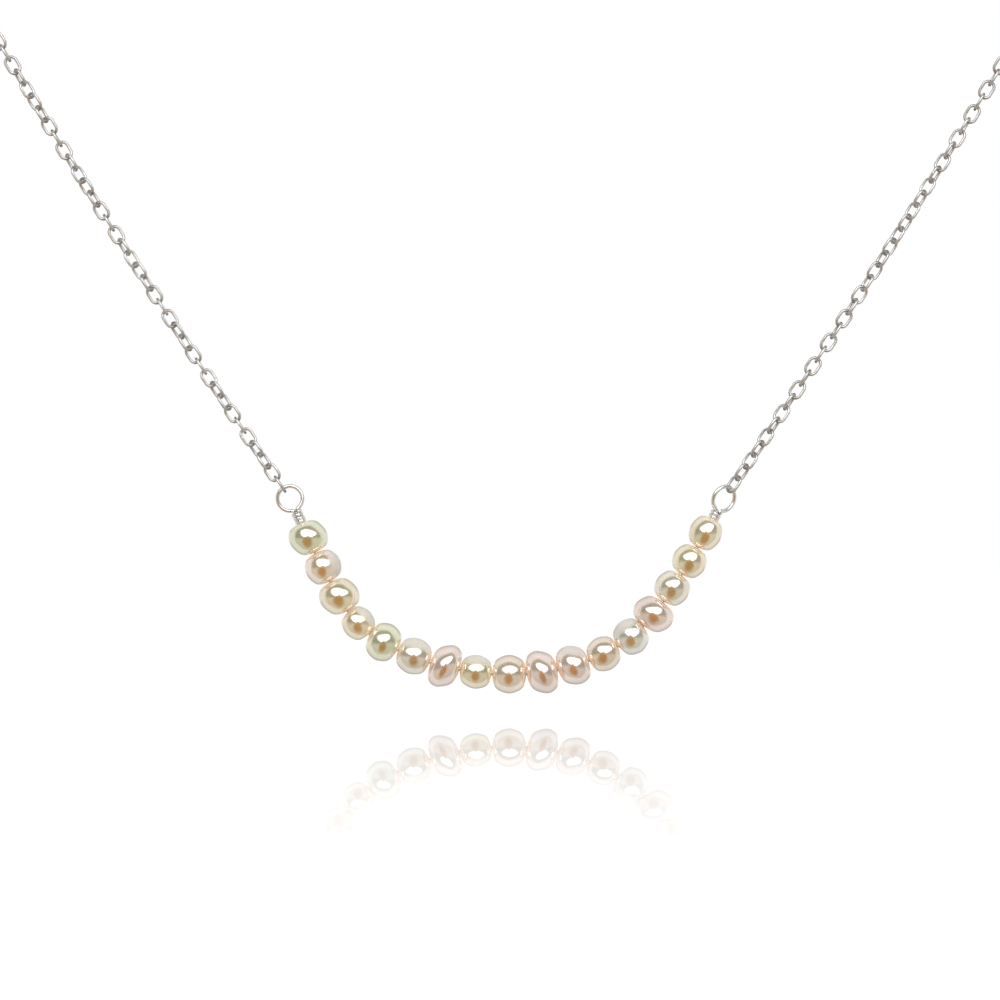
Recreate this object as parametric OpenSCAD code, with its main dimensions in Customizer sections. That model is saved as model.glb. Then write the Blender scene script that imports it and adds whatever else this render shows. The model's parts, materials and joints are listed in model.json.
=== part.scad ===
// Pearl necklace: seventeen button pearls on a curved wire, hung by its two wrapped eyes from a
// fine cable chain that closes behind the neck with a spring ring. It stands as it is worn: the
// front hangs in an upright plane on the -Y side, and the chain rises over the neck to the nape.
// The origin is the middle of the neck opening.

/* [Chain] */
// Outer length of one oval link
link_length = 2.06; // [1.9:0.02:2.4]
// Outer width of one oval link
link_width = 1.45; // [1.35:0.05:1.7]
// Thickness of the wire that a link is bent from
link_wire = 0.3; // [0.25:0.01:0.32]
// Play left between two links that pull on each other
play = 0.04; // [0.03:0.01:0.06]
// Links on each side, from the strand's eye to the clasp
links_per_side = 135; // [130:1:145]
// Degrees past a quarter turn that each left link is turned, near the strand and further up
left_twist = [18, 13]; // [0:1:20]
// Left link at which the twist changes
left_twist_change = 16; // [10:1:30]
// Degrees past a quarter turn that each right link is turned, near the strand and further up
right_twist = [4.1, 5]; // [0:0.1:20]
// Right link at which the twist changes
right_twist_change = 50; // [45:1:60]
// Right link that lies exactly in the view from the side
right_flat_link = 12; // [1:1:20]

/* [Strand] */
// How far the lowest point of the wire hangs below its two eyes
strand_drop = 17.6; // [17:0.1:19]
// Thickness of the strand's wire
strand_wire = 0.4; // [0.35:0.01:0.45]
// Left half of the wire, from the lowest point outwards: bend radius and the slope it ends at
left_bends = [[27, 30], [8, 58], [70, 65]]; // [7:1:80]
// Right half of the wire, in the same way
right_bends = [[22, 24], [14, 54], [70, 62]]; // [7:1:80]
// Radius of an eye, to the middle of its wire
eye_r = 1.25; // [1.1:0.05:1.3]
// Turn of the left and of the right eye about the wire, 90 being flat to the front
eye_turns = [90, 130]; // [60:1:140]
// Turns of wire wrapped below the left and the right eye
wrap_turns = [3, 2]; // [2:1:3]

/* [Pearls] */
// Width of each pearl across the wire, from the left
pearl_across = [4.0, 3.8, 4.1, 3.4, 4.1, 3.8, 4.6, 3.5, 4.0, 4.6, 4.2, 3.6, 3.8, 4.3, 3.7, 3.6, 3.4]; // [3:0.1:5]
// Length of each pearl along the wire, from the left
pearl_along = [3.3, 3.2, 3.4, 3.1, 3.2, 3.4, 3.0, 3.2, 3.4, 3.1, 3.2, 3.2, 3.2, 3.1, 3.2, 3.1, 3.3]; // [2.8:0.1:4]
// Drill hole through each pearl
pearl_hole = 0.7; // [0.65:0.05:0.9]
// Gap between two pearls
pearl_gap = 0.05; // [0.04:0.01:0.1]
// How far the row of pearls has slid to the right on its wire
pearl_slide = 0.2; // [0:0.05:0.2]

/* [Drape] */
// Links in each swinging length of the front
drop_links = 5; // [4:1:6]
// Swinging lengths between the strand and the neck, on each side
drops = 8; // [4:1:9]
// Links in each length that lifts off the nape
lift_links = 12; // [8:1:14]
// Lifting lengths on each side of the clasp
lifts = 3; // [2:1:3]
// Nodes that each resting side run is split into
rests = 3; // [2:1:4]
// Slope of the chain where it leaves the strand, and at the top of the front
front_slopes = [55.5, 59.8]; // [50:0.5:70]
// Length of the front on each side, up to where the chain turns over the neck
front_length = 59; // [57:1:64]
// Radius at which the chain turns over the side of the neck
shoulder_r = 22; // [18:1:26]
// Rise of the chain from the side of the neck to the nape, in degrees
nape_rise = 20; // [10:1:30]

/* [Clasp] */
// Spring ring: radius to the middle of its tube, outer and inner radius of the tube
ring_r = 2.4; // [2.3:0.1:2.6]
tube_r = 0.6; // [0.55:0.05:0.65]
bore_r = 0.42; // [0.4:0.01:0.44]
// Thickness of the spring ring's tongue
tongue_d = 0.74; // [0.7:0.02:0.76]
// Gap in the spring ring's tube, in degrees
tongue_gap = 58; // [50:1:60]
// How far the tongue slides back, in degrees
tongue_travel = 62; // [60:1:66]
// Small eye on the spring ring: radius to the middle of its wire, and wire radius
lug_r = 0.75; // [0.7:0.05:0.8]
lug_wire_r = 0.22; // [0.2:0.01:0.24]
// Jump ring between the chain and the spring ring: radius and wire radius
jump_r = 1.25; // [1.2:0.05:1.3]
jump_wire_r = 0.22; // [0.2:0.01:0.24]
// Ring on the other end of the chain, that the tongue hooks: radius and wire radius
end_r = 1.65; // [1.6:0.05:1.8]
end_wire_r = 0.26; // [0.22:0.01:0.28]

/* [Hidden] */
$fn = 48;
slack = 0.01;
silver = [0.80, 0.80, 0.79];
nacre = [0.93, 0.90, 0.85];

// One link: its middle line is two half circles joined by straight sides
bow_r = (link_width - link_wire) / 2;
link_straight = link_length - link_width;
link_half = (link_length - link_wire) / 2;
pitch = 2 * link_half - link_wire - play;

// Two rings that pull on each other: the distance between their middles
function hooked(r1, r2, w1, w2) = r1 + r2 - w1 - w2 - play;

// A vector turned about a unit axis
function turned(v, axis, a) =
    v * cos(a) + cross(axis, v) * sin(a) + axis * (axis * v) * (1 - cos(a));
function unit(v) = v / norm(v);

// A station on a route is its place, its direction and a cross direction. It can be carried along
// a straight or round an arc.
function carried(st, far) = [st[0] + far * st[1], st[1], st[2]];
function rounded(st, axis, r, far) =
    let (a = far / r * 180 / PI, arm = r * cross(axis, st[1]))
    [st[0] + arm - turned(arm, axis, a), turned(st[1], axis, a), turned(st[2], axis, a)];

// The strand's wire, as one list of stations per half, each where a bend begins
function bends_from(bends, side, st, slope = 0, i = 0) =
    i == len(bends) ? [st] :
    let (len_i = bends[i][0] * (bends[i][1] - slope) * PI / 180)
    concat([st], bends_from(bends, side,
        rounded(st, [0, -side, 0], bends[i][0], len_i), bends[i][1], i + 1));
function bend_lengths(bends) = [for (i = [0:len(bends) - 1])
    bends[i][0] * (bends[i][1] - (i == 0 ? 0 : bends[i - 1][1])) * PI / 180];
function total(list, n) = n <= 0 ? 0 : list[n - 1] + total(list, n - 1);
low = [[0, 0, 0], [1, 0, 0], [0, 1, 0]];
low_left = [[0, 0, 0], [-1, 0, 0], [0, 1, 0]];
left_run = bends_from(left_bends, -1, low_left);
right_run = bends_from(right_bends, 1, low);
function last(list) = list[len(list) - 1];
function straight_end(run) = (strand_drop - last(run)[0][2]) / last(run)[1][2];
left_end = carried(last(left_run), straight_end(left_run));
right_end = carried(last(right_run), straight_end(right_run));
eye_x = (right_end[0][0] - left_end[0][0]) / 2;
low_x = -(right_end[0][0] + left_end[0][0]) / 2;

// The chain's half route on the +X side: it starts at the eye's middle, in the upright plane
front_turn_r = front_length / ((front_slopes[1] - front_slopes[0]) * PI / 180);
first_link = hooked(eye_r, link_half, strand_wire / 2, link_wire / 2);
run_length = first_link + (links_per_side - 1) * pitch;
at_eye = [[eye_x, 0, 0], [cos(front_slopes[0]), 0, sin(front_slopes[0])], [0, 1, 0]];
at_shoulder = rounded(at_eye, [0, -1, 0], front_turn_r, front_length);
side_way = [0, cos(nape_rise), sin(nape_rise)];
shoulder_axis = unit(cross(at_shoulder[1], side_way));
shoulder_length = shoulder_r * acos(at_shoulder[1] * side_way) * PI / 180;
at_side = rounded(at_shoulder, shoulder_axis, shoulder_r, shoulder_length);
clasp_span = hooked(jump_r, link_half, jump_wire_r, link_wire / 2)
    + hooked(lug_r, jump_r, lug_wire_r, jump_wire_r) + ring_r + tube_r + lug_r - lug_wire_r / 2
    + hooked(ring_r, end_r, tube_r, end_wire_r) + hooked(end_r, link_half, end_wire_r, link_wire / 2);
nape_r = at_side[0][0] - clasp_span / 2;
nape_length = nape_r * PI / 2;
side_length = run_length - front_length - shoulder_length - nape_length;
at_nape = carried(at_side, side_length);
nape_axis = unit(cross(side_way, [-1, 0, 0]));
function route(far) =
    far <= front_length ? rounded(at_eye, [0, -1, 0], front_turn_r, far) :
    far <= front_length + shoulder_length
        ? rounded(at_shoulder, shoulder_axis, shoulder_r, far - front_length) :
    far <= front_length + shoulder_length + side_length
        ? carried(at_side, far - front_length - shoulder_length) :
    rounded(at_nape, nape_axis, nape_r, far - front_length - shoulder_length - side_length);

// The whole is drawn about the middle of the neck opening
at_clasp = route(run_length);
lift = [0, -at_clasp[0][1] / 2, -at_side[0][2]];

// Turn of a link about its own length. At 0 its flat lies fore and aft.
function left_roll(n) = (n - 1) * 90 + left_twist[0] * (min(n, left_twist_change) - 1)
    + left_twist[1] * max(n - left_twist_change, 0);
function right_roll(n) = n * 90 + right_twist[0] * (min(n, right_twist_change) - right_flat_link)
    + right_twist[1] * max(n - right_twist_change, 0);

// Names of the nodes, in the order in which the necklace is put together
function two(n) = n < 10 ? str("0", n) : str(n);
SIDES = ["left", "right"];
RUNS = [for (side = SIDES) each concat(
    [for (i = [1:drops]) str(side, "_drop_", i)],
    [for (i = [1:rests]) str(side, "_rest_", i)],
    [for (i = [1:lifts]) str(side, "_lift_", i)])];
PEARLS = [for (i = [1:len(pearl_along)]) str("pearl_", two(i))];
CLASP = ["jump_ring", "spring_ring", "tongue", "end_ring"];

// First and last link of each run of one side, counted from the strand
rest_links = links_per_side - drops * drop_links - lifts * lift_links;
function run_start(i) = i <= drops ? i * drop_links :
    i <= drops + rests ? drops * drop_links + round((i - drops) * rest_links / rests) :
    drops * drop_links + rest_links + (i - drops - rests) * lift_links;

// Puts what is drawn along X at a station, turned about its own length
module at(st, roll = 0) {
    y = st[2] * cos(roll) + cross(st[1], st[2]) * sin(roll);
    z = cross(st[1], y);
    multmatrix([[st[1][0], y[0], z[0], st[0][0]], [st[1][1], y[1], z[1], st[0][1]],
        [st[1][2], y[2], z[2], st[0][2]], [0, 0, 0, 1]]) children();
}

// A ring of round wire in the XY plane
module ring(r, wire_r, from = 0, sweep = 360) {
    rotate([0, 0, from]) rotate_extrude(angle = sweep) translate([r, 0]) circle(wire_r);
}

module link() {
    for (turn = [0, 180]) rotate([0, 0, turn]) {
        translate([link_straight / 2, 0, 0]) ring(bow_r, link_wire / 2, -90, 180);
        translate([-link_straight / 2, bow_r, 0]) rotate([0, 90, 0])
            cylinder(h = link_straight, d = link_wire);
    }
}

// Links of one run, on the left (-1) or on the right (1)
module chain_run(side, i) {
    for (n = [run_start(i - 1) + 1:run_start(i)])
        mirror([side < 0 ? 1 : 0, 0, 0])
        at(route(first_link + (n - 1) * pitch), side < 0 ? left_roll(n) : right_roll(n)) link();
}

// Joins two bends of the strand's wire. It is turned so that its seam crosses neither of them.
module bend_ball() { rotate([70, 25, 40]) sphere(strand_wire / 2 + slack / 2); }

// One half of the strand's wire: bends, straight end, wraps and eye
module half_wire(bends, run, end, turn, wraps) {
    lengths = bend_lengths(bends);
    side = run[0][1][0];
    for (i = [0:len(bends) - 1]) {
        nick = slack / bends[i][0] * 180 / PI;
        sweep = lengths[i] / bends[i][0] * 180 / PI;
        at([run[i][0] + bends[i][0] * cross([0, -side, 0], run[i][1]), run[i][1],
            cross([0, -side, 0], run[i][1])])
            ring(bends[i][0], strand_wire / 2, nick - 90, sweep - 2 * nick);
        translate(run[i + 1][0]) bend_ball();
    }
    // The stem and the wraps round it are one turned body, a little thinner inside the eye
    stem = norm(end[0] - last(run)[0]) - eye_r;
    top_wrap = stem - strand_wire - 2 * slack;
    at(last(run)) rotate([0, 90, 0]) rotate_extrude() {
        translate([0, slack]) square([strand_wire / 2, top_wrap + slack]);
        translate([0, slack]) square([strand_wire / 2 - 3 * slack, stem - slack]);
        for (i = [0:wraps - 1]) translate([wrap_pitch, top_wrap - i * wrap_pitch])
            circle(strand_wire / 2);
    }
    at(end, turn) ring(eye_r, strand_wire / 2);
}
wrap_pitch = strand_wire - 2 * slack;

module strand_wire() {
    color(silver) translate([low_x, 0, -strand_drop]) {
        bend_ball();
        half_wire(left_bends, left_run, left_end, eye_turns[0], wrap_turns[0]);
        half_wire(right_bends, right_run, right_end, eye_turns[1], wrap_turns[1]);
    }
}

// A place on the strand, measured along the wire from its lowest point, +X to the right
function on_half(bends, run, far, i = 0) =
    i == len(bends) ? carried(last(run), far) :
    far <= bend_lengths(bends)[i] ? rounded(run[i], [0, -run[0][1][0], 0], bends[i][0], far) :
    on_half(bends, run, far - bend_lengths(bends)[i], i + 1);
function on_strand(far) = (far < 0 ? on_half(left_bends, left_run, -far)
    : on_half(right_bends, right_run, far))[0] + [low_x, 0, -strand_drop];
strand_length = total(pearl_along, len(pearl_along)) + (len(pearl_along) - 1) * pearl_gap;
left_length = total(bend_lengths(left_bends), len(left_bends)) + straight_end(left_run);
right_length = total(bend_lengths(right_bends), len(right_bends)) + straight_end(right_run);
strand_start = (right_length - left_length - strand_length) / 2 + pearl_slide;
function pearl_middle(n) = strand_start + total(pearl_along, n - 1) + (n - 1) * pearl_gap
    + pearl_along[n - 1] / 2;
// A pearl sits on the chord of its stretch of wire, halfway out to the bend
function pearl_station(n) =
    let (half = pearl_along[n - 1] / 2, m = pearl_middle(n), a = on_strand(m - half),
        b = on_strand(m + half), c = on_strand(m))
    [(a + 2 * c + b) / 4, unit(b - a), [0, 1, 0]];

// Half of an oval of arcs that run into each other: a wide one over each end of the hole, and a
// tighter one round the rim
module oval(across, along) {
    rim = rim_share * along;
    rim_x = across - rim;
    cap = (rim_x * rim_x + along * along - rim * rim) / (2 * (along - rim));
    translate([rim_x, 0]) circle(rim);
    intersection() {
        translate([0, cap - along]) circle(cap);
        translate([0, along - cap]) circle(cap);
        translate([0, -along]) square([rim_x * cap / (cap - rim), 2 * along]);
    }
}
rim_share = 0.75;

module pearl(n) {
    half = pearl_along[n - 1] / 2;
    color(nacre) at(pearl_station(n)) rotate([0, 90, 0]) rotate_extrude() difference() {
        intersection() {
            oval(pearl_across[n - 1] / 2, half);
            translate([0, -half]) square([pearl_across[n - 1], 2 * half]);
        }
        translate([0, -half - 1]) square([pearl_hole / 2, 2 * half + 2]);
    }
}

// The clasp lies flat on the nape, in its own frame: X along the necklace, Y up the neck
clasp_frame = [[0, at_clasp[0][1], at_clasp[0][2]], [1, 0, 0], cross([1, 0, 0], side_way)];
jump_x = -clasp_span / 2 + hooked(jump_r, link_half, jump_wire_r, link_wire / 2);
lug_x = jump_x + hooked(lug_r, jump_r, lug_wire_r, jump_wire_r);
ring_x = lug_x + lug_r - lug_wire_r / 2 + tube_r + ring_r;
end_x = ring_x + hooked(ring_r, end_r, tube_r, end_wire_r);
gap_from = 22;
tongue_tail = 40;
tongue_tip = 8;
slot_half = 0.14;

module clasp_place() { color(silver) at(clasp_frame) children(); }
module jump_ring() { clasp_place() translate([jump_x, 0, 0]) rotate([90, 0, 0]) ring(jump_r, jump_wire_r); }
module end_ring() { clasp_place() translate([end_x, 0, 0]) rotate([90, 0, 0]) ring(end_r, end_wire_r); }

module spring_ring() {
    clasp_place() {
        translate([ring_x, 0, 0]) difference() {
            union() {
                ring(ring_r, tube_r, gap_from + tongue_gap, 360 - tongue_gap);
                translate([lug_x - ring_x, 0, 0]) ring(lug_r, lug_wire_r);
            }
            ring(ring_r, bore_r, gap_from + tongue_gap - 1, tongue_tail + tongue_travel + 3);
            ring(ring_r, bore_r, gap_from - tongue_tip - 2, tongue_tip + 3);
            rotate([0, 0, gap_from + tongue_gap - 1]) rotate_extrude(angle = tongue_travel + 6)
                translate([ring_r, -slot_half]) square([tube_r + 1, 2 * slot_half]);
        }
    }
}
module tongue() {
    clasp_place() translate([ring_x, 0, 0]) {
        ring(ring_r, tongue_d / 2, gap_from - tongue_tip, tongue_gap + tongue_tip + tongue_tail);
        rotate([0, 0, gap_from + tongue_gap - 4]) translate([ring_r, 0, 0]) rotate([0, 90, 0])
            cylinder(h = tube_r + 0.5, r = slot_half - 0.03);
    }
}

// Everything is drawn from the eyes' own height and then lifted to the neck's middle
module placed() { translate(lift) children(); }
placed() strand_wire();
for (n = [1:len(PEARLS)]) placed() pearl(n);
for (s = [0, 1]) for (i = [1:drops + rests + lifts])
    placed() color(silver) chain_run(2 * s - 1, i);
placed() jump_ring();
placed() spring_ring();
placed() tongue();
placed() end_ring();
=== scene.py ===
# Pearl necklace as it is worn: a curved wire of button pearls hung by its wrapped eyes from a
# fine cable chain, closed at the nape by a spring ring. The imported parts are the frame.
import json
import math

import bmesh
import bpy
import numpy as np
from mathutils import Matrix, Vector


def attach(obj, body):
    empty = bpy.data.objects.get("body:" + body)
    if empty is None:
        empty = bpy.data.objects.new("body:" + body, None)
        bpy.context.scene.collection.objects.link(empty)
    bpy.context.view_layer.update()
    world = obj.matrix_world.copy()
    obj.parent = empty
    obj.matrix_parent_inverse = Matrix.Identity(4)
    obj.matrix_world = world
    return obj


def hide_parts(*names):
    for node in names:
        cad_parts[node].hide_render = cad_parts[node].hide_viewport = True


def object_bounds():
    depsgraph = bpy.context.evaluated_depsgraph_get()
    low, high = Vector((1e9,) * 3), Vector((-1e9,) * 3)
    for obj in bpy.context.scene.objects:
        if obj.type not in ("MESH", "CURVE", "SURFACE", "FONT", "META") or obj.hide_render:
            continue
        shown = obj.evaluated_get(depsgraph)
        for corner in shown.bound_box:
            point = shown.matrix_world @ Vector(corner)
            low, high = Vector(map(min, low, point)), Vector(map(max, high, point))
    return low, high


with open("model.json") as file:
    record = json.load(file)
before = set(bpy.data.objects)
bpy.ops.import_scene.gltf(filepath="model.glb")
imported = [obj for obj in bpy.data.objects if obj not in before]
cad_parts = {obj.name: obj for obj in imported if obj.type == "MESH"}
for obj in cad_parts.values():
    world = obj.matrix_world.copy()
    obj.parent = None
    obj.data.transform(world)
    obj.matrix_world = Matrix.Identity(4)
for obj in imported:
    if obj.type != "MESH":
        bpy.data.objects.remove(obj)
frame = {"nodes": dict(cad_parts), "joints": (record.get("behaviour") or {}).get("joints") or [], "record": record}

# ---------------------------------------------------------------------------------------------
# The table and the light. The necklace hangs just over a pale, slightly glossy table in a white
# room, with a wide window in front and above, and a dim figure standing below it.
# ---------------------------------------------------------------------------------------------
VIEW_WIDTH = 0.100
CAMERA_AWAY = 0.700
CAMERA_SHIFT = (-0.0007, -0.0010)
SENSOR = 36.0
CLIP = (0.01, 10)
TABLE_BELOW = 0.0016
TABLE_BRIGHT = 1.13
TABLE_REACH = (0.8, 0.45)
POLISH = 0.64
POLISH_STARTS, POLISH_FULL = -0.42, 0.05
BACK_WALL, BACK_CEILING, FRONT_WALL = (0.94, 0.93, 0.91), (0.55, 0.54, 0.51), (0.30, 0.285, 0.215)
TABLE_LIT = (0.72, 0.68, 0.58)
# where each part of the room begins and where it is full, as parts of the way there
FRONT_WALL_FROM, WINDOW_WALL_FROM = (0.02, 0.34), (0.2, 0.35)
BACK_WALL_FROM, CEILING_FROM = (0.40, 0.90), (0.12, 0.30)
TABLE_FROM, TABLE_SHARE = (-0.22, 0.12), 0.92
# ovals on the front wall: middle and half width across, middle and half height, softness
WINDOW, WINDOW_LIGHT = (0.04, 0.64, 0.44, 0.34, 0.30), (3.6, 3.65, 3.7)
HEAD, HEAD_SHADE = (-0.02, 0.22, 0.08, 0.22, 0.7), (0.46, 0.44, 0.36)
FIGURE, FIGURE_OCHRE = (-0.06, 0.46, -0.40, 0.50, 0.6), (0.43, 0.19, 0.0)

cad_box = [list(corner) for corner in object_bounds()]
joints = {joint["name"]: joint for joint in frame["joints"]}
hung_at = joints["strand_swing"]["pos_m"]
front_y, eye_height = hung_at[1], hung_at[2]


class Value:
    """A socket of a node tree that arithmetic can be written on."""

    def __init__(self, tree, socket=None):
        self.tree, self.socket = tree, socket

    def node(self, kind, settings=None, inputs=None, out=0):
        """Adds a node, sets its settings and then its sockets, and gives one of its outputs."""
        made = self.tree.nodes.new(kind)
        for name, value in (settings or {}).items():
            setattr(made, name, value)
        for name, value in (inputs or {}).items():
            if isinstance(value, Value):
                self.tree.links.new(value.socket, made.inputs[name])
            else:
                made.inputs[name].default_value = value
        return Value(self.tree, made.outputs[out] if made.outputs else None)

    def sum(self, operation, *terms):
        return self.node("ShaderNodeMath", {"operation": operation}, dict(enumerate(terms)))

    def __add__(self, other):
        return self.sum("ADD", self, other)

    __radd__ = __add__

    def __sub__(self, other):
        return self.sum("SUBTRACT", self, other)

    def __rsub__(self, other):
        return self.sum("SUBTRACT", other, self)

    def __mul__(self, other):
        return self.sum("MULTIPLY", self, other)

    __rmul__ = __mul__

    def __truediv__(self, other):
        return self.sum("DIVIDE", self, other)

    def between(self, low, high):
        """0 below low, 1 above high, and a soft step from one to the other."""
        return self.node(
            "ShaderNodeMapRange",
            {"interpolation_type": "SMOOTHSTEP"},
            {"Value": self, "From Min": low, "From Max": high},
        )

    def mixed(self, first, second):
        """The first colour where this is 0 and the second where it is 1."""
        return self.node(
            "ShaderNodeMix",
            {"data_type": "RGBA"},
            {0: self, 6: colour(first), 7: colour(second)},
            out=2,
        )


def colour(value):
    return value if isinstance(value, Value) else (*value, 1)


def room_light():
    """A white wall behind, a dim one in front, a wide window in it and an ochre figure below."""
    world = bpy.data.worlds.new("white_room")
    bpy.context.scene.world = world
    world.use_nodes = True
    tree = world.node_tree
    tree.nodes.clear()
    start = Value(tree)
    way = start.node("ShaderNodeTexCoord")
    parts = [start.node("ShaderNodeSeparateXYZ", inputs={0: way}, out=i) for i in range(3)]
    across, ahead, height = parts[0], parts[1] * -1, parts[2]
    dim = ahead.between(*FRONT_WALL_FROM)
    steep = height.sum("ABSOLUTE", height).between(*CEILING_FROM)
    behind = (ahead * -1).between(*BACK_WALL_FROM) * steep
    pale = behind.mixed(BACK_WALL, BACK_CEILING)
    walls = dim.mixed(pale, FRONT_WALL)
    ground = dim * (1 - height.between(*TABLE_FROM))
    room = (ground * TABLE_SHARE).mixed(walls, TABLE_LIT)

    def oval(middle, wide, level, tall, soft):
        """1 inside an oval on the front wall, and 0 outside it."""
        far = (across - middle) / wide
        rise = (height - level) / tall
        inside = 1 - (far * far + rise * rise).between(1 - soft, 1 + soft)
        return inside * ahead.between(*WINDOW_WALL_FROM)

    for place, shade in ((WINDOW, WINDOW_LIGHT), (HEAD, HEAD_SHADE), (FIGURE, FIGURE_OCHRE)):
        room = oval(*place).mixed(room, shade)
    mirrored = start.node("ShaderNodeBackground", inputs={"Color": room, "Strength": 1.0})
    plain = start.node("ShaderNodeBackground", inputs={"Color": (1, 1, 1, 1), "Strength": 1.0})
    straight = start.node("ShaderNodeLightPath", out="Is Camera Ray")
    off_table = start.node("ShaderNodeLightPath", out="Is Singular Ray")
    both = start.node("ShaderNodeMixShader", inputs={0: straight + off_table, 1: mirrored, 2: plain})
    start.node("ShaderNodeOutputWorld", inputs={"Surface": both})


def table_top():
    """A glossy white sheet, whose polish fades towards the viewer."""
    low = cad_box[0][2] - TABLE_BELOW
    mesh = bpy.data.meshes.new("table_top")
    reach, front = TABLE_REACH
    corners = [(-reach, -front, low), (reach, -front, low), (reach, reach, low), (-reach, reach, low)]
    mesh.from_pydata(corners, [], [(0, 1, 2, 3)])
    top = bpy.data.objects.new("table_top", mesh)
    bpy.context.scene.collection.objects.link(top)
    finish = bpy.data.materials.new("table_gloss")
    finish.use_nodes = True
    tree = finish.node_tree
    tree.nodes.clear()
    start = Value(tree)
    place = start.node("ShaderNodeTexCoord", out="Object")
    depth = start.node("ShaderNodeSeparateXYZ", inputs={0: place}, out=1)
    polish = depth.between(front_y + POLISH_STARTS, front_y + POLISH_FULL) * POLISH
    paint = start.node("ShaderNodeEmission", inputs={"Color": (1, 1, 1, 1), "Strength": TABLE_BRIGHT})
    gloss = start.node("ShaderNodeBsdfGlossy", inputs={"Color": (1, 1, 1, 1), "Roughness": 0.0})
    both = start.node("ShaderNodeMixShader", inputs={0: polish, 1: paint, 2: gloss})
    start.node("ShaderNodeOutputMaterial", inputs={"Surface": both})
    mesh.materials.append(finish)
    top.visible_diffuse = False
    top.visible_glossy = False


def camera():
    """Level with the strand, far in front of it, with a long lens."""
    lens = bpy.data.cameras.new("front_view")
    lens.sensor_width = SENSOR
    lens.lens = SENSOR * CAMERA_AWAY / VIEW_WIDTH
    lens.clip_start, lens.clip_end = CLIP
    seat = bpy.data.objects.new("front_view", lens)
    seat.location = (CAMERA_SHIFT[0], front_y - CAMERA_AWAY, eye_height + CAMERA_SHIFT[1])
    seat.rotation_euler = (math.radians(90), 0, 0)
    bpy.context.scene.collection.objects.link(seat)
    bpy.context.scene.camera = seat
    bpy.context.scene.view_settings.view_transform = "Standard"


room_light()
table_top()
camera()

# ---------------------------------------------------------------------------------------------
# The cable chain. Each link is a short length of silver wire bent into an oval and soldered, and
# passed through the last before it is closed. Each one's place is read from its own solid.
# ---------------------------------------------------------------------------------------------
LINK_LENGTH = 0.00206
LINK_WIDTH = 0.00145
LINK_WIRE = 0.00030
LINK_STEPS = 16
LINK_SIDES = 6
FLAT_SIDED = 1.02
SAME_POINT = 1e-7
CLOUD_FINE, SCUFF_FINE = 900.0, 6000.0
RIPPLE = 0.00002
# where along a link, as parts of its half length, its bow darkens with painted shade where the next link hooks
# through, and partly with tarnish
BOW_SHADE_AND_TARNISH, CLOUD_DULL = (0.62, 0.98), (0.5, 0.8)
CHAIN_BRIGHT, CHAIN_SHADE, CHAIN_POLISH = (0.62, 0.62, 0.63), (0.22, 0.18, 0.15), 0.32
TONE_SEED = 17

body_of_node = {n: b for b, nodes in frame["record"]["behaviour"]["bodies"].items() for n in nodes}


def solids_of(node):
    """The separate closed shells of a CAD node, in the mesh's order, as their triangles' corners."""
    work = bmesh.new()
    work.from_mesh(frame["nodes"][node].data)
    bmesh.ops.remove_doubles(work, verts=work.verts, dist=SAME_POINT)
    bmesh.ops.triangulate(work, faces=work.faces)
    met, shells = set(), []
    for first in work.faces:
        if first in met:
            continue
        met.add(first)
        ends, shell = [first], []
        while ends:
            face = ends.pop()
            shell.append([v.co[:] for v in face.verts])
            for edge in face.edges:
                for other in edge.link_faces:
                    if other not in met:
                        met.add(other)
                        ends.append(other)
        shells.append(np.array(shell))
    work.free()
    return shells


def link_place(shell):
    """Middle, long direction and cross direction of one link, from the spread of its surface."""
    middles = shell.mean(axis=1)
    areas = np.linalg.norm(np.cross(shell[:, 1] - shell[:, 0], shell[:, 2] - shell[:, 0]), axis=1)
    centre = (middles * areas[:, None]).sum(0) / areas.sum()
    apart = middles - centre
    ways = np.linalg.eigh((apart * areas[:, None]).T @ apart)[1]
    return centre, ways[:, 2], ways[:, 1]


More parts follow.
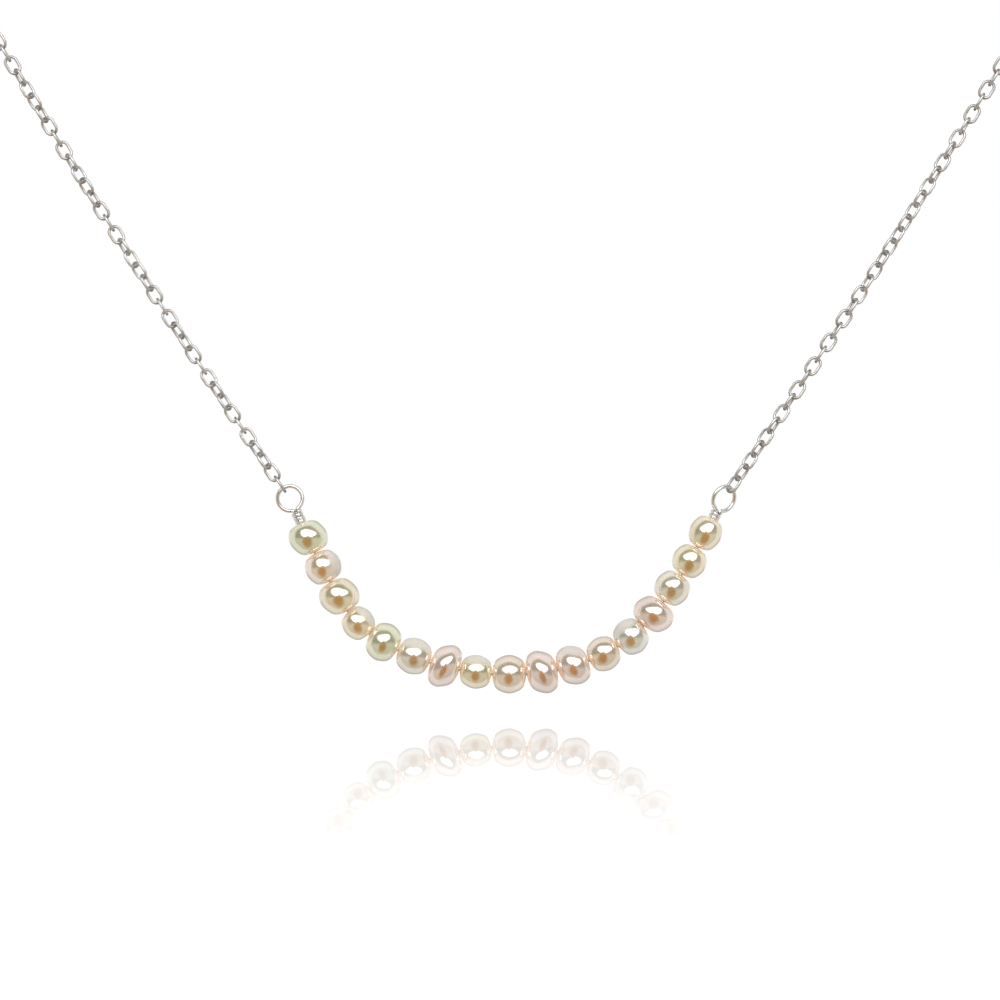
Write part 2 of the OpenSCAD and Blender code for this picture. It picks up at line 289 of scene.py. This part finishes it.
def link_tree():
    """Bends a link and sets one on each point, lying along its own two directions."""
    tree = bpy.data.node_groups.new("cable_links", "GeometryNodeTree")
    face = tree.interface
    face.new_socket("Places", in_out="INPUT", socket_type="NodeSocketGeometry")
    for name in ("Length", "Width", "Wire"):
        face.new_socket(name, in_out="INPUT", socket_type="NodeSocketFloat")
    for name in ("Steps", "Sides"):
        face.new_socket(name, in_out="INPUT", socket_type="NodeSocketInt")
    face.new_socket("Metal", in_out="INPUT", socket_type="NodeSocketMaterial")
    face.new_socket("Links", in_out="OUTPUT", socket_type="NodeSocketGeometry")
    start = Value(tree)
    given = tree.nodes.new("NodeGroupInput").outputs
    length, width, wire = (Value(tree, given[n]) for n in ("Length", "Width", "Wire"))
    bow = (width - wire) * 0.5
    ring = start.node(
        "GeometryNodeCurvePrimitiveCircle", inputs={"Resolution": Value(tree, given["Steps"]),
                                                    "Radius": bow * FLAT_SIDED}
    )
    half_step = math.pi / LINK_STEPS
    ring = start.node("GeometryNodeTransform", inputs={"Geometry": ring, "Rotation": (0, 0, half_step)})
    place = start.node("GeometryNodeInputPosition")
    along = start.node("ShaderNodeSeparateXYZ", inputs={0: place})
    stretch = along.sum("SIGN", along) * ((length - width) * 0.5)
    offset = start.node("ShaderNodeCombineXYZ", inputs={0: stretch})
    oval = start.node("GeometryNodeSetPosition", inputs={"Geometry": ring, "Offset": offset})
    section = start.node(
        "GeometryNodeCurvePrimitiveCircle",
        inputs={"Resolution": Value(tree, given["Sides"]), "Radius": wire * (FLAT_SIDED / 2)},
    )
    bent = start.node("GeometryNodeCurveToMesh", inputs={"Curve": oval, "Profile Curve": section})
    # how near each point is to the link's ends, where the silver darkens with painted shade and some tarnish
    nearness = along.sum("ABSOLUTE", along) / (length * 0.5)
    marked = start.node(
        "GeometryNodeStoreNamedAttribute",
        {"data_type": "FLOAT", "domain": "POINT"},
        {"Geometry": bent, "Name": "bow", "Value": nearness},
    )
    smooth = start.node("GeometryNodeSetShadeSmooth", inputs={"Geometry": marked})
    ways = [
        start.node("GeometryNodeInputNamedAttribute", {"data_type": "FLOAT_VECTOR"}, {"Name": name})
        for name in ("along", "across")
    ]
    turn = start.node(
        "FunctionNodeAxesToRotation",
        {"primary_axis": "X", "secondary_axis": "Y"},
        {"Primary Axis": ways[0], "Secondary Axis": ways[1]},
    )
    set_out = start.node(
        "GeometryNodeInstanceOnPoints",
        inputs={"Points": Value(tree, given["Places"]), "Instance": smooth, "Rotation": turn},
    )
    real = start.node("GeometryNodeRealizeInstances", inputs={"Geometry": set_out})
    plated = start.node(
        "GeometryNodeSetMaterial", inputs={"Geometry": real, "Material": Value(tree, given["Metal"])}
    )
    start.node("NodeGroupOutput", inputs={"Links": plated})
    return tree


def silver(name, bright, shade, polish):
    """Sterling silver: duller and warmer in random patches, and darker at the bows of chain links with painted
    shade where links hook through each other, partly tarnish.
    """
    metal = bpy.data.materials.new(name)
    metal.use_nodes = True
    tree = metal.node_tree
    shader = tree.nodes["Principled BSDF"]
    start = Value(tree)
    place = start.node("ShaderNodeTexCoord", out="Object")
    cloud = start.node("ShaderNodeTexNoise", inputs={"Vector": place, "Scale": CLOUD_FINE, "Detail": 3.0})
    scuff = start.node("ShaderNodeTexNoise", inputs={"Vector": place, "Scale": SCUFF_FINE, "Detail": 2.0})
    bow = start.node("ShaderNodeAttribute", {"attribute_name": "bow"}, out="Fac")
    tone = start.node("ShaderNodeAttribute", {"attribute_name": "tone"}, out="Fac")
    # at the bows of chain links this darkening is painted shade where links hook through each other, partly
    # tarnish; the rest is random dull patches and tone
    dull_and_shade = bow.between(*BOW_SHADE_AND_TARNISH) * 0.70 + cloud.between(*CLOUD_DULL) * 0.15 + tone * 0.20
    tint = dull_and_shade.mixed(bright, shade)
    tree.links.new(tint.socket, shader.inputs["Base Color"])
    rough = polish + scuff * 0.10 + dull_and_shade * 0.12
    tree.links.new(rough.socket, shader.inputs["Roughness"])
    ripple = start.node(
        "ShaderNodeBump", inputs={"Strength": 0.15, "Distance": RIPPLE, "Height": cloud}
    )
    tree.links.new(ripple.socket, shader.inputs["Normal"])
    shader.inputs["Metallic"].default_value = 1.0
    return metal


chain_metal = silver("chain_silver", CHAIN_BRIGHT, CHAIN_SHADE, CHAIN_POLISH)
links_made = link_tree()
toss = np.random.default_rng(TONE_SEED)


def lay_links(node):
    """Sets a link on the place of each solid of a run of chain."""
    places = [link_place(shell) for shell in solids_of(node)]
    mesh = bpy.data.meshes.new("places")
    mesh.from_pydata([p[0] for p in places], [], [])
    for name, way in (("along", 1), ("across", 2)):
        kept = mesh.attributes.new(name, "FLOAT_VECTOR", "POINT")
        kept.data.foreach_set("vector", np.array([p[way] for p in places]).ravel())
    tones = mesh.attributes.new("tone", "FLOAT", "POINT")
    tones.data.foreach_set("value", toss.random(len(places)))
    points = bpy.data.objects.new("places", mesh)
    bpy.context.scene.collection.objects.link(points)
    work = points.modifiers.new("links", "NODES")
    work.node_group = links_made
    sizes = {"Length": LINK_LENGTH, "Width": LINK_WIDTH, "Wire": LINK_WIRE, "Steps": LINK_STEPS,
             "Sides": LINK_SIDES, "Metal": chain_metal}
    for item in links_made.interface.items_tree:
        if item.in_out == "INPUT" and item.name in sizes:
            work[item.identifier] = sizes[item.name]
    ready = points.evaluated_get(bpy.context.evaluated_depsgraph_get())
    plain = bpy.data.meshes.new_from_object(ready)
    bpy.data.objects.remove(points)
    run = bpy.data.objects.new("links_" + node, plain)
    bpy.context.scene.collection.objects.link(run)
    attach(run, body_of_node[node])
    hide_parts(node)


for node in sorted(frame["nodes"]):
    if node.startswith(("left_", "right_")):
        lay_links(node)

# ---------------------------------------------------------------------------------------------
# The strand's wire. One length of soft silver wire runs through all the pearls. At each end it is
# turned into a round eye, wrapped two or three times about itself and cut off.
# ---------------------------------------------------------------------------------------------
WIRE_R = 0.00020
EYE_R = 0.00125
PLAY = 0.00004
WRAP_PITCH = 0.00038
WRAP_R = WIRE_R * 1.95
WRAP_STEPS, EYE_STEPS = 14, 44
WRAPS = {"left": 3, "right": 2}
# a cut end is rounded off over this length and to this width, as parts of the wire's radius
CUT_LENGTH, CUT_WIDTH = 0.35, 0.7
SKEW = (0.3, 0.9, 0.2)
INSIDE_PEARL = 0.0008
WIRE_BRIGHT, WIRE_SHADE, WIRE_POLISH = (0.70, 0.70, 0.70), (0.38, 0.33, 0.29), 0.22
EYE_TURN = {"left": 90, "right": 130}

pearls = [n for n in sorted(frame["nodes"]) if n.startswith("pearl_")]
on_wire = [(Vector(joints[n + "_spin"]["pos_m"]), Vector(joints[n + "_spin"]["axis"])) for n in pearls]


def tube(name, path, radius, sides, closed=False):
    """A round wire swept along a path, with rounded cut ends."""
    path = np.array([tuple(p) for p in path])
    if closed:
        ways = np.roll(path, -1, 0) - np.roll(path, 1, 0)
    else:
        ways = np.gradient(path, axis=0)
    ways /= np.linalg.norm(ways, axis=1)[:, None]
    cross = np.cross(ways[0], SKEW)
    cross /= np.linalg.norm(cross)
    turns = np.arange(sides) * 2 * math.pi / sides
    rings = []
    for point, way in zip(path, ways):
        cross = cross - way * (cross @ way)
        cross /= np.linalg.norm(cross)
        third = np.cross(way, cross)
        rings.append(point + radius * (np.outer(np.cos(turns), cross) + np.outer(np.sin(turns), third)))
    if not closed:
        first = path[0] - ways[0] * radius * CUT_LENGTH
        final = path[-1] + ways[-1] * radius * CUT_LENGTH
        rings.insert(0, first + (rings[0] - path[0]) * CUT_WIDTH)
        rings.append(final + (rings[-1] - path[-1]) * CUT_WIDTH)
    work = bmesh.new()
    loops = [[work.verts.new(p) for p in ring] for ring in rings]
    pairs = list(zip(loops, loops[1:])) + ([(loops[-1], loops[0])] if closed else [])
    for low, high in pairs:
        for i in range(sides):
            j = (i + 1) % sides
            work.faces.new((low[i], low[j], high[j], high[i]))
    if not closed:
        work.faces.new(loops[0][::-1])
        work.faces.new(loops[-1])
    bmesh.ops.recalc_face_normals(work, faces=work.faces)
    for face in work.faces:
        face.smooth = len(face.verts) == 4
    mesh = bpy.data.meshes.new(name)
    work.to_mesh(mesh)
    work.free()
    made = bpy.data.objects.new(name, mesh)
    bpy.context.scene.collection.objects.link(made)
    return made


def eye_middle(side):
    """The eye's middle is one hooked reach down the chain from the joint it hangs by."""
    joint = Vector(joints["strand_swing"]["pos_m"])
    node = side + "_drop_1"
    if side == "right":
        joint.x *= -1
    places = [link_place(shell) for shell in solids_of(node)]
    nearest = min(places, key=lambda p: (Vector(p[0]) - joint).length)
    way = (Vector(nearest[0]) - joint).normalized()
    return joint - way * (EYE_R - WIRE_R - PLAY / 2)


def wrapped_end(side):
    """Path from the last pearl up the stem, round the eye and down the wraps to the cut end."""
    place, way = on_wire[0] if side == "left" else on_wire[-1]
    middle = eye_middle(side)
    up = (middle - place).normalized()
    turn = math.radians(EYE_TURN[side])
    flat = Vector((0, 1, 0))
    flat = (flat * math.cos(turn) + up.cross(flat) * math.sin(turn)).normalized()
    out = up.cross(flat)
    foot = middle - up * (EYE_R + WRAP_PITCH * WRAPS[side])
    beside = WIRE_R * 1.1
    path = [foot, middle - up * (EYE_R + beside)]
    for step in range(2, EYE_STEPS - 1):
        angle = step / EYE_STEPS * 2 * math.pi
        lean = beside * (2 * step / EYE_STEPS - 1)
        path.append(middle - up * EYE_R * math.cos(angle) + flat * EYE_R * math.sin(angle) + out * lean)
    lowest = EYE_R + WRAP_PITCH * WRAPS[side] + WIRE_R * 0.6
    for step in range(WRAPS[side] * WRAP_STEPS + 4):
        angle = step / WRAP_STEPS * 2 * math.pi
        fall = EYE_R + WIRE_R * 0.9 + WRAP_PITCH * step / WRAP_STEPS
        ring = out * math.cos(angle) - flat * math.sin(angle)
        path.append(middle - up * min(fall, lowest) + ring * WRAP_R)
    return path


def strand_wire():
    """The whole wire, from one cut end through both eyes and the pearls to the other."""
    left, right = wrapped_end("left"), wrapped_end("right")
    through = []
    for place, way in on_wire:
        through += [place - way * INSIDE_PEARL, place, place + way * INSIDE_PEARL]
    path = left[::-1] + through + right
    wire = tube("strand_wire_drawn", path, WIRE_R, 10)
    wire.data.materials.append(silver("wire_silver", WIRE_BRIGHT, WIRE_SHADE, WIRE_POLISH))
    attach(wire, "strand_wire")
    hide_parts("strand_wire")


strand_wire()

# ---------------------------------------------------------------------------------------------
# The pearls. Small freshwater button pearls, each a little flattened along its drill hole and no
# two alike: a lustrous dome, a duller chalky patch on some, and a painted warm glow at the holes.
# ---------------------------------------------------------------------------------------------
PEARL_ROUND = 72
PEARL_STEPS = 44
HOLE_R = 0.00034
CONTACT = 0.00002
END_FULLNESS = 0.45
UNEVEN = 0.03
CHALK_EDGE, CHALK_SOFT = 0.42, 0.34
# warm tint and emission at the holes: a painted glow, for light through the nacre where the pearls touch
HOLE_GLOW_TINT, PAINTED_HOLE_GLOW = (0.96, 0.84, 0.71), (0.075, 0.045, 0.028)
DENT = 0.00005
NACRE_CLOUD, NACRE_GRAIN = 450.0, 5000.0
SHAPE_SEED = 100
TINTS = {
    "green": (0.74, 0.75, 0.58),
    "gold": (0.82, 0.75, 0.58),
    "peach": (0.84, 0.73, 0.63),
    "rose": (0.84, 0.72, 0.67),
    "cream": (0.82, 0.77, 0.68),
    "white": (0.79, 0.78, 0.74),
}
CHALK = (0.60, 0.58, 0.54)
# from the left: tint, lean of the rim along the wire, and the way the dull patch faces, if any
LOOKS = [
    ("green", 0.10, None), ("peach", 0.0, (1, -0.2, 0.2)), ("gold", 0.12, None),
    ("gold", 0.0, (0.7, -0.1, 0.7)), ("green", 0.0, None), ("cream", 0.0, (0.2, -0.1, 1)),
    ("rose", 0.20, None), ("gold", 0.0, (0.1, -0.1, 1)), ("peach", 0.0, None),
    ("rose", -0.16, None), ("rose", -0.12, (0.1, 0, 1)), ("peach", 0.0, None),
    ("white", 0.0, (-0.6, -0.1, 0.8)), ("rose", -0.10, None), ("cream", 0.0, None),
    ("gold", 0.0, None), ("gold", 0.0, None),
]


def nacre(name, tint):
    """Nacre mirrors softly in its own tint. It is duller on a chalky patch. At the hole, where pearls touch, a
    warm tint and an emission are a painted glow for light through the nacre.
    """
    skin = bpy.data.materials.new(name)
    skin.use_nodes = True
    tree = skin.node_tree
    shader = tree.nodes["Principled BSDF"]
    start = Value(tree)
    place = start.node("ShaderNodeTexCoord", out="Object")
    cloud = start.node("ShaderNodeTexNoise", inputs={"Vector": place, "Scale": NACRE_CLOUD, "Detail": 3.0})
    grain = start.node("ShaderNodeTexNoise", inputs={"Vector": place, "Scale": NACRE_GRAIN, "Detail": 3.0})
    pole = start.node("ShaderNodeAttribute", {"attribute_name": "pole"}, out="Fac")
    chalk = start.node("ShaderNodeAttribute", {"attribute_name": "chalk"}, out="Fac")
    deep = tuple(c * 0.94 for c in tint)
    body = cloud.between(0.35, 0.65).mixed(deep, tuple(min(1, c * 1.05) for c in tint))
    # painted glow: the base colour turns warm towards the holes
    warm_glow_tint = (pole.between(0.45, 0.95) * 0.8).mixed(body, HOLE_GLOW_TINT)
    pale = (chalk * 0.9).mixed(warm_glow_tint, CHALK)
    tree.links.new(pale.socket, shader.inputs["Base Color"])
    rough = 0.13 + grain * 0.07 + chalk * 0.35 + pole.between(0.5, 1.0) * 0.15
    tree.links.new(rough.socket, shader.inputs["Roughness"])
    mirror = 0.80 - chalk * 0.72 - pole.between(0.45, 1.0) * 0.50
    tree.links.new(mirror.socket, shader.inputs["Metallic"])
    bumps = cloud * 0.9 + grain * 0.1
    dents = start.node("ShaderNodeBump", inputs={"Strength": 0.2, "Distance": DENT, "Height": bumps})
    tree.links.new(dents.socket, shader.inputs["Normal"])
    # painted glow: the surface emits a little warm light near the holes
    painted_glow = pole.between(0.60, 1.0).mixed((0, 0, 0), PAINTED_HOLE_GLOW)
    tree.links.new(painted_glow.socket, shader.inputs["Emission Color"])
    coat = 0.6 - chalk * 0.5
    tree.links.new(coat.socket, shader.inputs["Coat Weight"])
    for socket, value in {
        "IOR": 1.6, "Coat Roughness": 0.06, "Coat IOR": 1.7,
        "Subsurface Weight": 0.3, "Subsurface Scale": 0.0008,
        "Emission Strength": 1.0,
    }.items():
        shader.inputs[socket].default_value = value
    shader.inputs["Subsurface Radius"].default_value = (1.0, 0.7, 0.5)
    return skin


def pearl(node, number, look):
    """A drilled pearl, as rings about its hole from one mouth over the rim to the other."""
    tint, lean, patch = look
    place, way = (np.array(v) for v in on_wire[number])
    corners = np.array([v.co[:] for v in frame["nodes"][node].data.vertices]) - place
    along = corners @ way
    across = np.linalg.norm(corners - np.outer(along, way), axis=1).max()
    half = np.abs(along).max() + CONTACT
    luck = np.random.default_rng(SHAPE_SEED + number)
    fore = np.cross(way, (0, 0, 1))
    fore /= np.linalg.norm(fore)
    up = np.cross(fore, way)
    mouth_rise = math.acos(HOLE_R / across / (1 + END_FULLNESS))
    waves = [
        (luck.integers(1, 4), luck.uniform(0, 2 * math.pi), luck.uniform(0.3, 1.0), luck.uniform(-1, 1))
        for _ in range(5)
    ]
    patch = None if patch is None else np.array(patch) / np.linalg.norm(patch)
    turns = np.arange(PEARL_ROUND) * 2 * math.pi / PEARL_ROUND
    verts, poles, chalks = [], [], []
    for step in range(PEARL_STEPS + 1):
        rise = mouth_rise * (2 * step / PEARL_STEPS - 1)
        for turn in turns:
            wave = sum(w * math.sin(n * turn + phase + skew * 2 * rise) for n, phase, w, skew in waves) / 5
            keep = 1 - UNEVEN * (1 - wave) * math.cos(rise) ** 0.5
            full = 1 + END_FULLNESS * math.sin(rise) ** 4
            radius = max(across * math.cos(rise) * full * keep, HOLE_R)
            shift = half * math.sin(rise)
            shift += lean * radius * math.cos(turn) * math.cos(rise)
            point = way * shift + radius * (up * math.cos(turn) + fore * math.sin(turn))
            verts.append(place + point)
            poles.append(abs(math.sin(rise)) ** 2)
            facing = point / np.linalg.norm(point)
            near = 0.0 if patch is None else (facing @ patch - CHALK_EDGE) / CHALK_SOFT
            chalks.append(float(np.clip(near, 0, 1)))
    for mouth in (half * 0.9, -half * 0.9):
        for turn in turns:
            verts.append(place + way * mouth + HOLE_R * (up * math.cos(turn) + fore * math.sin(turn)))
            poles.append(1.0)
            chalks.append(0.0)
    faces = []
    rings = list(range(PEARL_STEPS + 3)) + [0]
    for low, high in zip(rings, rings[1:]):
        for i in range(PEARL_ROUND):
            j = (i + 1) % PEARL_ROUND
            corner = low * PEARL_ROUND, high * PEARL_ROUND
            faces.append((corner[0] + i, corner[0] + j, corner[1] + j, corner[1] + i))
    mesh = bpy.data.meshes.new(node + "_nacre")
    mesh.from_pydata([tuple(v) for v in verts], [], faces)
    for name, values in (("pole", poles), ("chalk", chalks)):
        mesh.attributes.new(name, "FLOAT", "POINT").data.foreach_set("value", values)
    work = bmesh.new()
    work.from_mesh(mesh)
    bmesh.ops.recalc_face_normals(work, faces=work.faces)
    work.to_mesh(mesh)
    work.free()
    mesh.shade_smooth()
    made = bpy.data.objects.new(node + "_nacre", mesh)
    bpy.context.scene.collection.objects.link(made)
    mesh.materials.append(nacre(node + "_skin", TINTS[tint]))
    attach(made, body_of_node[node])
    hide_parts(node)


for number, node in enumerate(pearls):
    pearl(node, number, LOOKS[number])

# ---------------------------------------------------------------------------------------------
# The clasp, at the nape: a jump ring, a spring ring whose tongue slides back in its tube, and the
# ring on the other end of the chain. All are silver, a little more polished than the chain.
# ---------------------------------------------------------------------------------------------
RING_R, TUBE_R, BORE_R = 0.00240, 0.00060, 0.00042
# places round the ring are in degrees, from the side that the chain's end ring hangs on
GAP = (22, 80)
TONGUE_R = 0.00037
TONGUE = (14, 120)
KNOB_AT, KNOB_TOP, KNOB_R = 76, 0.00350, 0.00011
SLOT_END, SLOT_HALF = 148, 17
BORE_END, BORE_SHUT = 185, 10
SLOT_SHUT, BORE_SHUT_R = 0.4, BORE_R * 0.1
TUBE_WALLS, TUBE_STEPS = 20, 120
SHARP = math.radians(40)
CLASP_BRIGHT, CLASP_SHADE, CLASP_POLISH = (0.80, 0.80, 0.795), (0.45, 0.42, 0.39), 0.12
# small rings: place along the neck from the clasp's middle, radius, and radius of the wire
LUG = (-0.00364, 0.00075, 0.00022)
JUMP = (-0.00516, 0.00125, 0.00020)
END = (0.00315, 0.00165, 0.00024)
LUG_OPEN, RING_TURN = (33, 327), (92, 450)

clasp_metal = silver("clasp_silver", CLASP_BRIGHT, CLASP_SHADE, CLASP_POLISH)
clasp_middle = np.array(joints["tongue_slide"]["pos_m"])
along_neck = np.array([1.0, 0.0, 0.0])
out_of_neck = np.array(joints["tongue_slide"]["axis"])
up_neck = np.cross(out_of_neck, along_neck)


def hoop(middle, radius, start, stop, standing=False, steps=72):
    """Points on a round in the clasp's own plane, or standing on it, from one angle to another."""
    other = out_of_neck if standing else up_neck
    centre = clasp_middle + along_neck * middle
    return [
        centre + radius * (along_neck * math.cos(turn) + other * math.sin(turn))
        for turn in np.radians(np.linspace(start, stop, steps))
    ]


def clasp_part(made, node, body):
    """Gives a piece of the clasp its silver, its body and the CAD node that it replaces."""
    made.data.materials.append(clasp_metal)
    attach(made, body)
    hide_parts(node)


def spring_tube():
    """The tube, swept as a C-shaped section whose slot and bore close where the real ones end."""
    work = bmesh.new()
    sections = []
    for angle in np.linspace(GAP[1], GAP[0] + 360, TUBE_STEPS):
        turn = math.radians(angle)
        out = along_neck * math.cos(turn) + up_neck * math.sin(turn)
        middle = clasp_middle + RING_R * out
        slot = SLOT_HALF if angle < SLOT_END else SLOT_SHUT
        open_bore = angle < BORE_END or angle > 360 + GAP[0] - BORE_SHUT
        bore = BORE_R if open_bore else BORE_SHUT_R
        section = []
        for radius, way in ((TUBE_R, 1), (bore, -1)):
            for spot in np.radians(np.linspace(slot, 360 - slot, TUBE_WALLS)[::way]):
                reach = out * math.cos(spot) + out_of_neck * math.sin(spot)
                section.append(work.verts.new(middle + radius * reach))
        sections.append(section)
    count = 2 * TUBE_WALLS
    for near, far in zip(sections, sections[1:]):
        for i in range(count):
            j = (i + 1) % count
            work.faces.new((near[i], near[j], far[j], far[i]))
    for section in (sections[0], sections[-1]):
        for i in range(TUBE_WALLS - 1):
            work.faces.new((section[i], section[i + 1], section[count - 2 - i], section[count - 1 - i]))
    bmesh.ops.recalc_face_normals(work, faces=work.faces)
    for face in work.faces:
        face.smooth = True
    mesh = bpy.data.meshes.new("spring_tube")
    work.to_mesh(mesh)
    work.free()
    mesh.set_sharp_from_angle(angle=SHARP)
    tube_made = bpy.data.objects.new("spring_tube", mesh)
    bpy.context.scene.collection.objects.link(tube_made)
    return tube_made


def knob():
    """A short pin through the slot, a little wider at its top."""
    turn = math.radians(KNOB_AT)
    out = along_neck * math.cos(turn) + up_neck * math.sin(turn)
    rises = np.linspace(RING_R, KNOB_TOP, 8)
    return tube("tongue_knob", [clasp_middle + out * rise for rise in rises], KNOB_R, 16)


clasp_part(spring_tube(), "spring_ring", "clasp")
clasp_part(tube("spring_ring_lug", hoop(*LUG[:2], *LUG_OPEN), LUG[2], 16), "spring_ring", "clasp")
clasp_part(tube("jump_ring_bent", hoop(*JUMP[:2], *RING_TURN, True), JUMP[2], 16), "jump_ring", "clasp")
clasp_part(tube("end_ring_bent", hoop(*END[:2], *RING_TURN, True), END[2], 16), "end_ring", "clasp")
clasp_part(tube("tongue_rod", hoop(0, RING_R, *TONGUE), TONGUE_R, 20), "tongue", "tongue")
clasp_part(knob(), "tongue", "tongue")
